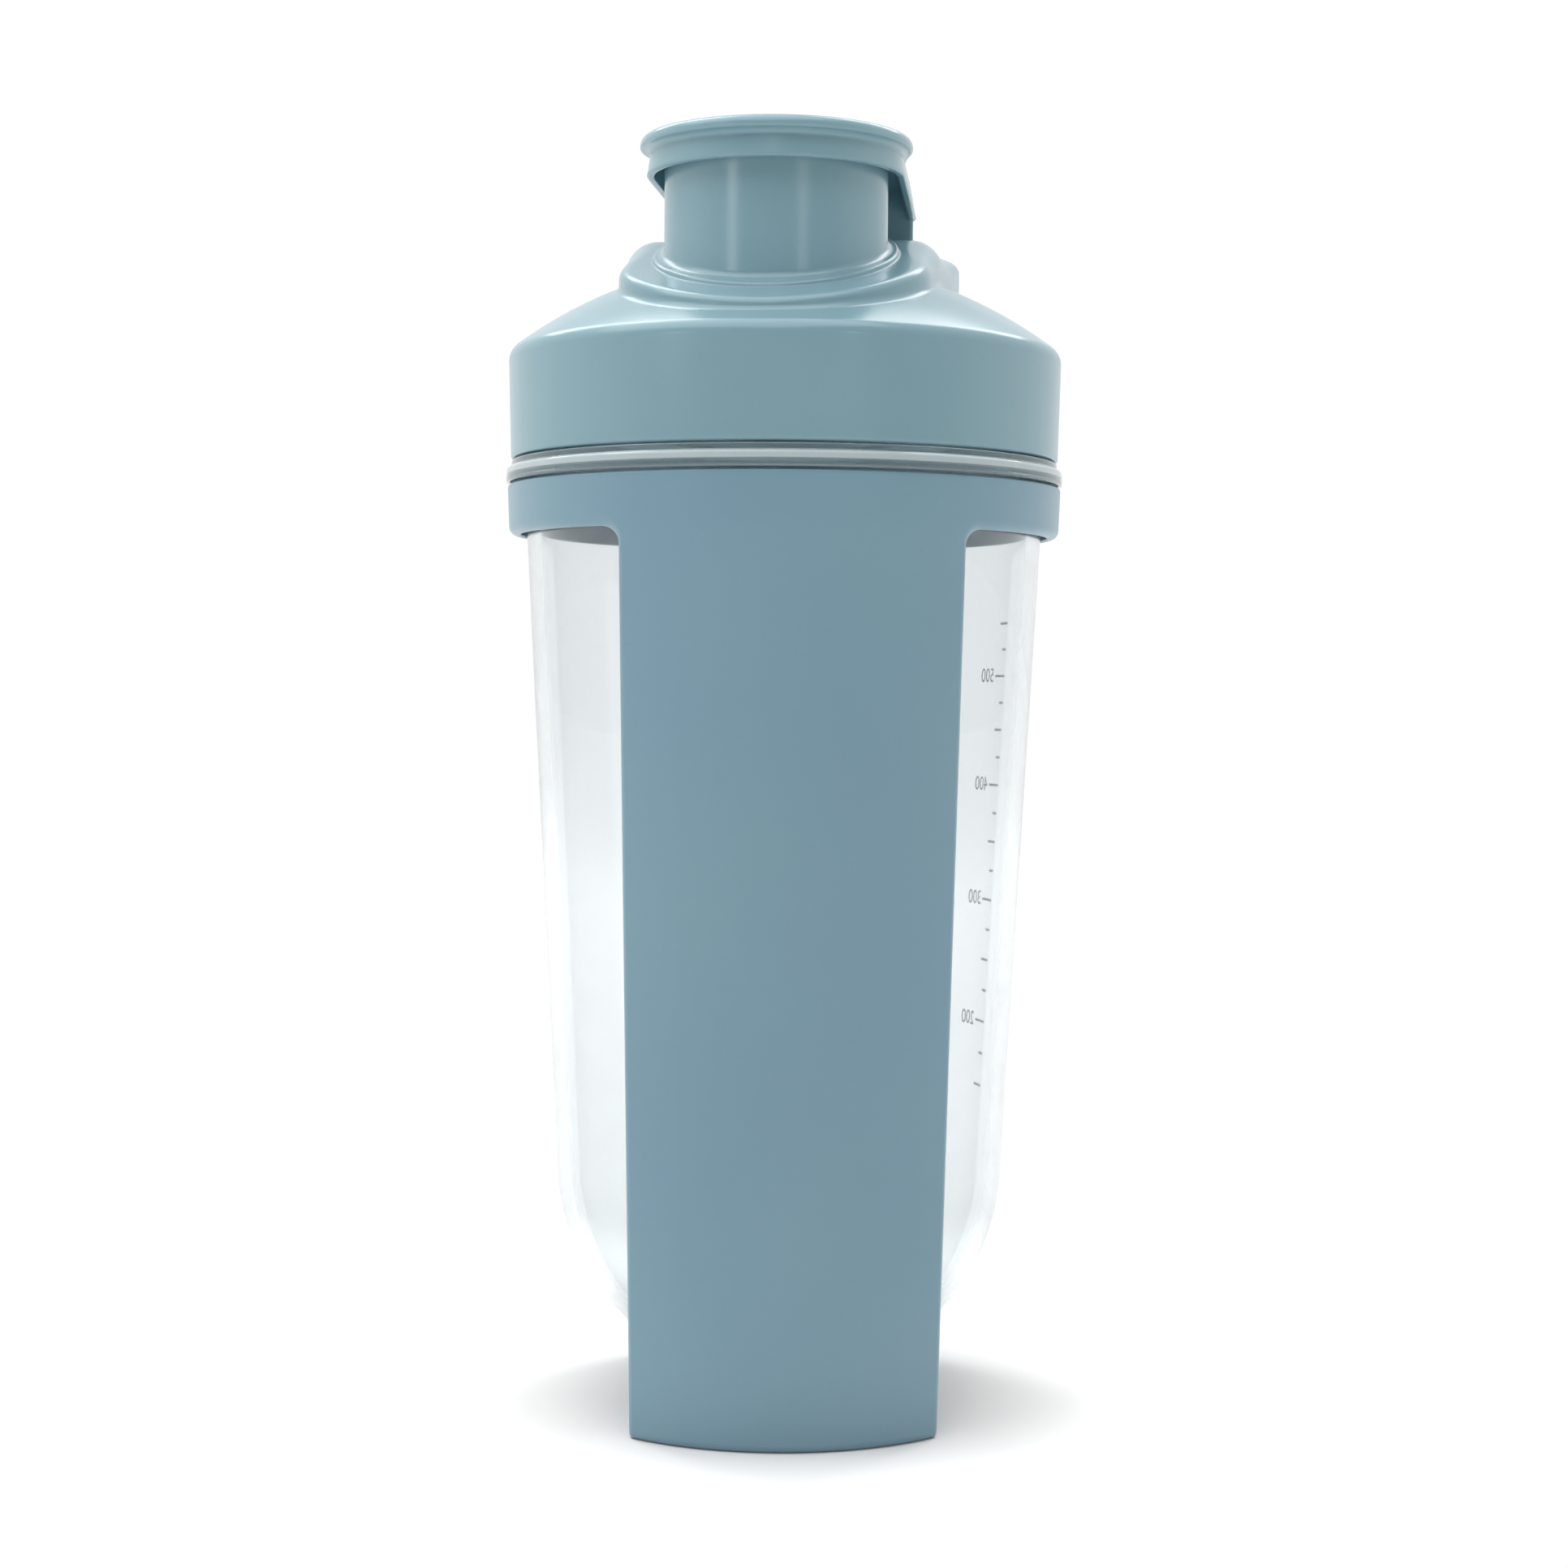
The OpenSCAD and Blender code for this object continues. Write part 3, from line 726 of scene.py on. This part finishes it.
def cap_field(x, y, z):
    """Distance field of the cap in the lid's frame: lip, skirt, strap and hinge barrel."""
    lip = meet(np.hypot(x, y - SPOUT_Y) - LIP_R, CAP_TOP - LIP_H - z, 0.4)
    body = join(lip, cap_plan(x, y, SKIRT_R - SKIRT_LEAN * (z - CAP_EDGE)), 1.1)
    body = meet(body, corner_bend(y, z, STRAP_BACK, CAP_TOP, BEND_R), 1.5)
    body = meet(body, CAP_EDGE - z, 0.35)
    ceiling = corner_bend(y, z, STRAP_BACK - STRAP_T, CAP_TOP - CAP_PLATE, BEND_R - STRAP_T)
    hollow = meet(cap_plan(x, y, SKIRT_R - CAP_WALL), ceiling, 0.8)
    body = meet(body, -hollow, 0.3)
    across = np.abs(x) - (STRAP_HALF - STRAP_INSET)
    strap = meet(across, np.abs(y - STRAP_BACK + STRAP_T / 2) - STRAP_T / 2, 0.5)
    strap = np.maximum(strap, np.maximum(PIN_Z - z, z - (CAP_TOP - BEND_R)))
    reach = np.hypot(y - PIN_Y, z - PIN_Z)
    barrel = meet(np.abs(x) - STRAP_HALF, reach - BARREL_R, 0.4)
    body = join(np.minimum(body, strap), barrel, 0.3)
    return meet(body, PIN_R + 0.05 - reach, 0.2)


def gradient(field, p, step=0.02):
    """Slope of a distance field at points (..., 3), by differences over `step` either way."""
    g = []
    for axis in range(3):
        d = np.zeros(3)
        d[axis] = step
        g.append((field(*(p + d).T) - field(*(p - d).T)) / (2 * step))
    return np.stack(g, -1)


def field_mesh(name, field, low, high, pitch):
    """Mesh of a distance field's surface, drawn on to the exact surface, with the field's normals."""
    axes = [np.arange(a, b + pitch, pitch) for a, b in zip(low, high)]
    values = field(*np.meshgrid(*axes, indexing="ij"))
    grid = openvdb.FloatGrid(float(values.max()))
    grid.copyFromArray(values.astype(np.float32))
    points, quads = grid.convertToQuads(0.0)
    points = np.array(low) + np.asarray(points, float) * pitch
    for _ in range(4):
        g = gradient(field, points)
        move = field(*points.T) / np.maximum((g * g).sum(-1), 0.25)
        points = points - g * np.clip(move, -pitch, pitch)[:, None] * 0.9
    normals = gradient(field, points, 0.05)
    normals /= np.maximum(np.linalg.norm(normals, axis=-1), 1e-6)[:, None]
    mesh = bpy.data.meshes.new(name)
    mesh.from_pydata((turned(points) * MM).tolist(), [], np.asarray(quads).tolist())
    mesh.polygons.foreach_set("use_smooth", [True] * len(mesh.polygons))
    mesh.normals_split_custom_set_from_vertices(turned(normals).tolist())
    return new_object(name, mesh)


def make_cap():
    return field_mesh("cap_shell", cap_field, CAP_LOW, CAP_HIGH, CAP_PITCH)


def make_seal():
    """Soft seal under the cap: a disc that lies on the spout's rim and a ring that plugs it."""
    top = CAP_TOP - CAP_PLATE
    disc_r = SKIRT_R - CAP_WALL - 0.8
    plug_r = SPOUT_R - SPOUT_WALL - 0.5
    plug_in = plug_r - 3.8
    profile = rounded([(0, top, 0), (disc_r, top, 0.15), (disc_r, SPOUT_TOP + 0.3, 0.3),
                       (plug_r, SPOUT_TOP + 0.3, 0.3), (plug_r - 0.5, SPOUT_TOP - 1, 0.4),
                       (plug_r - 1.9, SPOUT_TOP - 2, 0.4), (plug_in + 0.4, SPOUT_TOP - 2, 0.3),
                       (plug_in, top - 0.9, 0.2), (0, top - 0.9, 0)], closed=False)
    centre = turned((0, SPOUT_Y, 0))
    return smooth(revolve("seal_plug", profile, steps=144, closed=False, centre=centre[:2]))


def make_gasket():
    """Flat gasket under the lid's seat, with a shallow groove in its upper face."""
    low, high = NECK_TOP + 0.2, SEAT_Z - 0.2
    inner, outer = SEAT_R + 0.5, SKIRT_IN - 0.5
    middle = (inner + outer) / 2
    groove_half, groove_depth = 0.6, 0.3
    profile = rounded([(outer, low, 0.45), (outer, high, 0.45), (middle + groove_half, high, 0.1),
                       (middle, high - groove_depth, 0.3), (middle - groove_half, high, 0.1),
                       (inner, high, 0.45), (inner, low, 0.45)])
    return smooth(revolve("gasket_ring", profile))


# ---------------------------------------------------------------- materials

def srgb(r, g, b):
    """Linear colour from 0-255 display values."""
    return tuple(c / 12.92 if c <= 0.04045 else ((c + 0.055) / 1.055) ** 2.4
                 for c in (r / 255, g / 255, b / 255)) + (1.0,)


def set_inputs(node, **values):
    """Sets a node's sockets, each named with _ for its spaces."""
    for socket, value in values.items():
        node.inputs[socket.replace("_", " ")].default_value = value


class Shader:
    """A node material with a Principled surface and a few helpers to wire noise into it."""

    def __init__(self, name, **sockets):
        self.material = bpy.data.materials.new(name)
        self.material.use_nodes = True
        self.nodes = self.material.node_tree.nodes
        self.links = self.material.node_tree.links
        self.surface = self.nodes["Principled BSDF"]
        self.place = self.nodes.new("ShaderNodeTexCoord").outputs["Object"]
        set_inputs(self.surface, **sockets)

    def noise(self, scale, detail=2.0, stretch=None):
        """Noise of `scale` cells per metre, as a value from 0 to 1."""
        node = self.nodes.new("ShaderNodeTexNoise")
        set_inputs(node, Scale=scale, Detail=detail)
        place = self.place
        if stretch:
            mapping = self.nodes.new("ShaderNodeMapping")
            mapping.inputs["Scale"].default_value = stretch
            self.links.new(self.place, mapping.inputs["Vector"])
            place = mapping.outputs["Vector"]
        self.links.new(place, node.inputs["Vector"])
        return node.outputs["Fac"]

    def spread(self, value, low, high, start=0.3, end=0.7):
        """`value` mapped smoothly from start..end to low..high, and held there beyond them."""
        node = self.nodes.new("ShaderNodeMapRange")
        node.interpolation_type = "SMOOTHSTEP"
        set_inputs(node, From_Min=start, From_Max=end, To_Min=low, To_Max=high)
        self.links.new(value, node.inputs["Value"])
        return node.outputs["Result"]

    def step_up(self, height, low, high):
        """0 below the height `low` and 1 above `high`, both in mm."""
        return self.spread(height, 0, 1, low * MM, high * MM)

    def between(self, share, first, second):
        """A colour from `first` to `second` as `share` goes from 0 to 1."""
        node = self.nodes.new("ShaderNodeMix")
        node.data_type = "RGBA"
        self.links.new(share, node.inputs["Factor"])
        for socket, colour in (("A", first), ("B", second)):
            target = next(i for i in node.inputs if i.name == socket and i.type == "RGBA")
            if isinstance(colour, tuple):
                target.default_value = colour
            else:
                self.links.new(colour, target)
        return next(o for o in node.outputs if o.type == "RGBA")

    def mottle(self, scale, detail, first, second, start=0.3, end=0.7):
        """A colour that wanders between `first` and `second`."""
        return self.between(self.spread(self.noise(scale, detail), 0, 1, start, end), first, second)

    def times(self, first, second):
        node = self.nodes.new("ShaderNodeMath")
        node.operation = "MULTIPLY"
        self.links.new(first, node.inputs[0])
        self.links.new(second, node.inputs[1])
        return node.outputs["Value"]

    def feed(self, output, socket):
        self.links.new(output, self.surface.inputs[socket])

    def bump(self, *layers):
        """Relief from (height, depth in metres) layers, one on top of the other."""
        normal = None
        for height, depth in layers:
            node = self.nodes.new("ShaderNodeBump")
            set_inputs(node, Strength=1.0, Distance=depth)
            self.links.new(height, node.inputs["Height"])
            if normal:
                self.links.new(normal, node.inputs["Normal"])
            normal = node.outputs["Normal"]
        self.feed(normal, "Normal")


def satin_plastic(name, colour, warm, roughness):
    """Moulded opaque plastic: soft mottling, a fine satin grain and slightly uneven gloss."""
    s = Shader(name, IOR=1.55)
    tone = s.mottle(22, 1, colour, warm, 0.15, 0.85)
    fleck = s.spread(s.noise(700, 1), 0.0, 0.08, 0.66, 0.8)
    s.feed(s.between(fleck, tone, tuple(c * 0.8 for c in colour[:3]) + (1.0,)), "Base Color")
    uneven = 0.04
    s.feed(s.spread(s.noise(60, 2), roughness - uneven, roughness + uneven, 0.1, 0.9), "Roughness")
    s.bump((s.noise(900, 2), 0.00001), (s.noise(260, 1), 0.000006))
    return s.material


def clear_plastic():
    """Clear moulded plastic, cool in its depth, with slight flow ripples and fine handling haze.
    Its flange and neck carry a painted reflection, a bluish tint of the blue plastic round them that also
    makes them less clear, and the flange has a painted highlight along its upper edge."""
    s = Shader("clear_plastic", IOR=1.46)
    depth = s.nodes.new("ShaderNodeVolumeAbsorption")
    set_inputs(depth, Color=(0.6, 0.74, 0.78, 1), Density=40.0)
    s.links.new(depth.outputs["Volume"], s.nodes["Material Output"].inputs["Volume"])
    split = s.nodes.new("ShaderNodeSeparateXYZ")
    s.links.new(s.place, split.inputs["Vector"])
    height = split.outputs["Z"]
    # Painted reflection: the flange, step and neck are tinted towards the blue plastic round them and made
    # less clear.
    painted_blue_reflection = s.step_up(height, FLANGE_LOW - 1.5, FLANGE_LOW + 0.5)
    # Painted highlight: a paler, less clear band along the flange's upper edge.
    painted_edge_highlight = s.times(s.step_up(height, FLANGE_TOP - 1.5, FLANGE_TOP - 1.1),
                   s.spread(height, 1, 0, FLANGE_TOP * MM, (FLANGE_TOP + 0.1) * MM))
    tint = s.mottle(20, 1, (0.965, 0.98, 0.985, 1), (0.975, 0.985, 0.99, 1), 0.1, 0.9)
    tint = s.between(painted_blue_reflection, tint, (0.62, 0.78, 0.83, 1))
    s.feed(s.between(painted_edge_highlight, tint, (0.7, 0.8, 0.82, 1)), "Base Color")
    s.feed(s.times(s.spread(painted_blue_reflection, 0.95, 0.84, 0, 1), s.spread(painted_edge_highlight, 1, 0.5, 0, 1)), "Transmission Weight")
    s.feed(s.spread(s.noise(90, 3), 0.008, 0.04, 0.1, 0.9), "Roughness")
    s.bump((s.noise(24, 1, (1, 1, 0.4)), 0.00006))
    return s.material


def print_ink():
    """Grey ink, thin in places."""
    s = Shader("print_ink", IOR=1.45)
    s.feed(s.mottle(1500, 2, srgb(120, 130, 138), srgb(150, 158, 164)), "Base Color")
    s.feed(s.spread(s.noise(600, 2), 0.5, 0.7), "Roughness")
    s.bump((s.noise(2500, 2), 0.000008))
    return s.material


def silicone():
    """Milky soft seal material with a matt, slightly dusty face."""
    s = Shader("silicone", IOR=1.41, Subsurface_Weight=0.3, Subsurface_Scale=0.002)
    s.feed(s.mottle(60, 3, srgb(222, 226, 226), srgb(232, 234, 232)), "Base Color")
    s.feed(s.spread(s.noise(200, 3), 0.5, 0.66), "Roughness")
    s.bump((s.noise(1400, 2), 0.00001))
    return s.material


def steel():
    """Drawn stainless pin with fine lines along its length."""
    s = Shader("pin_steel", Metallic=1.0)
    lines = s.noise(3000, 2, (0.03, 1, 1))
    s.feed(s.between(s.spread(lines, 0, 1), srgb(176, 178, 180), srgb(206, 207, 208)), "Base Color")
    s.feed(s.spread(lines, 0.2, 0.34), "Roughness")
    s.bump((lines, 0.000004))
    return s.material


def paper_white():
    """Pale matt floor of the studio. It glows with painted light in a ring round the bottle's foot, which
    lightens the bottle's shadow there, and it glows more towards the horizon.
    """
    s = Shader("floor_white", Roughness=0.9, Specular_IOR_Level=0.1, Emission_Color=(1, 1, 1, 1))
    s.feed(s.mottle(12, 2, srgb(220, 220, 220), srgb(223, 223, 223)), "Base Color")
    length = s.nodes.new("ShaderNodeVectorMath")
    length.operation = "LENGTH"
    s.links.new(s.place, length.inputs[0])
    reach = length.outputs["Value"]
    # Painted light: a glowing ring round the bottle's foot lightens the shadow there.
    near = s.times(s.spread(reach, 0, GLOW_NEAR, 0.03, 0.07), s.spread(reach, 1, 0, 0.075, 0.14))
    glow = s.nodes.new("ShaderNodeMath")
    s.links.new(near, glow.inputs[0])
    s.links.new(s.spread(reach, 0, GLOW_FAR, 0.1, 1.3), glow.inputs[1])
    s.feed(glow.outputs["Value"], "Emission Strength")
    s.bump((s.noise(500, 2), 0.00002))
    return s.material


# ---------------------------------------------------------------- light and floor

SURROUND, FRONT_DIM = 1.02, 0.1         # strength of the surround behind the bottle and in front of it
GLOW_NEAR, GLOW_FAR = 0.34, 0.5         # the floor's own light round the bottle's foot and far away
OVERHEAD_W, BACK_W = 11.5, 2.6
GLINTS = (("glint_left", (-0.539, -0.522, 0.318), 0.144), ("glint_right", (0.305, -0.685, 0.318), 0.096))
FLOOR_HALF = 6000.0


def area_light(name, place, aim, size, watts):
    """A rectangular soft light at `place` (metres), turned towards `aim`."""
    data = bpy.data.lights.new(name, "AREA")
    data.shape = "RECTANGLE"
    data.size, data.size_y = size
    data.energy = watts
    light = bpy.data.objects.new(name, data)
    bpy.context.scene.collection.objects.link(light)
    light.location = place
    light.rotation_euler = (Vector(aim) - Vector(place)).to_track_quat("-Z", "Y").to_euler()
    return light


def light_studio():
    """A white surround that lights the bottle less from the front, a light overhead, two behind, and
    two small ones in front, without shadows, for the bright lines on the spout."""
    world = bpy.data.worlds.new("studio")
    bpy.context.scene.world = world
    world.use_nodes = True
    nodes, links = world.node_tree.nodes, world.node_tree.links
    place = nodes.new("ShaderNodeTexCoord")
    split = nodes.new("ShaderNodeSeparateXYZ")
    ramp = nodes.new("ShaderNodeMapRange")
    ramp.interpolation_type = "SMOOTHSTEP"
    set_inputs(ramp, From_Min=-0.9, From_Max=0.25, To_Min=FRONT_DIM, To_Max=SURROUND)
    links.new(place.outputs["Generated"], split.inputs["Vector"])
    links.new(split.outputs["Y"], ramp.inputs["Value"])
    seen = nodes.new("ShaderNodeLightPath")
    plain = nodes.new("ShaderNodeMix")
    set_inputs(plain, B=SURROUND)
    links.new(seen.outputs["Is Camera Ray"], plain.inputs["Factor"])
    links.new(ramp.outputs["Result"], plain.inputs["A"])
    links.new(plain.outputs["Result"], nodes["Background"].inputs["Strength"])
    nodes["Background"].inputs["Color"].default_value = (1, 1, 1, 1)
    area_light("overhead", (-0.25, -0.25, 1.1), (0, 0, 0.1), (1.6, 1.2), OVERHEAD_W)
    area_light("back_left", (-0.42, 0.5, 0.95), (0, 0, 0.18), (0.28, 0.7), BACK_W)
    area_light("back_right", (0.42, 0.5, 0.95), (0, 0, 0.18), (0.28, 0.7), BACK_W)
    for name, place, watts in GLINTS:
        glint = area_light(name, place, (0, 0, 0.2), (0.12, 0.07), watts)
        glint.data.use_shadow = False


def make_floor():
    """A wide pale floor that the bottle stands on."""
    ends = (-FLOOR_HALF, FLOOR_HALF)
    grid = np.array([[(x, y, 0.0) for x in ends] for y in ends])
    floor = sheets("floor", [(grid, False, False)])
    floor.data.materials.append(paper_white())


# ---------------------------------------------------------------- assembly

# The denoiser treats roughness below 0.27 as a mirror, so each plastic's range stays on one side of it.
SLEEVE = satin_plastic("sleeve_plastic", srgb(112, 146, 164), srgb(117, 151, 165), 0.325)
LID = satin_plastic("lid_plastic", srgb(121, 155, 167), srgb(127, 160, 169), 0.225)
CLEAR, INK, SOFT, STEEL = clear_plastic(), print_ink(), silicone(), steel()

PIECES = (
    (make_sleeve, SLEEVE, "sleeve", ("sleeve",), "sleeve_plastic"),
    (make_cup, CLEAR, "cup", ("cup",), "clear_plastic"),
    (make_scale, INK, "cup", (), None),
    (make_lid, LID, "lid", ("lid",), "lid_plastic"),
    (make_lid_thread, LID, "lid", (), "lid_plastic"),
    (make_gasket, SOFT, "gasket", ("lid_gasket",), "silicone"),
    (make_cap, LID, "flip_cap", ("flip_cap",), "lid_plastic"),
    (make_seal, SOFT, "flip_cap", ("spout_seal",), "silicone"),
    (make_pin, STEEL, "lid", ("hinge_pin",), "pin_steel"),
)

for make, finish, body, nodes, slot in PIECES:
    piece = make()
    piece.data.materials.clear()
    piece.data.materials.append(finish)
    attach(piece, body)
    if nodes:
        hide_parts(*nodes)

make_floor()
place_camera()
light_studio()
bpy.context.scene.view_settings.view_transform = "Standard"
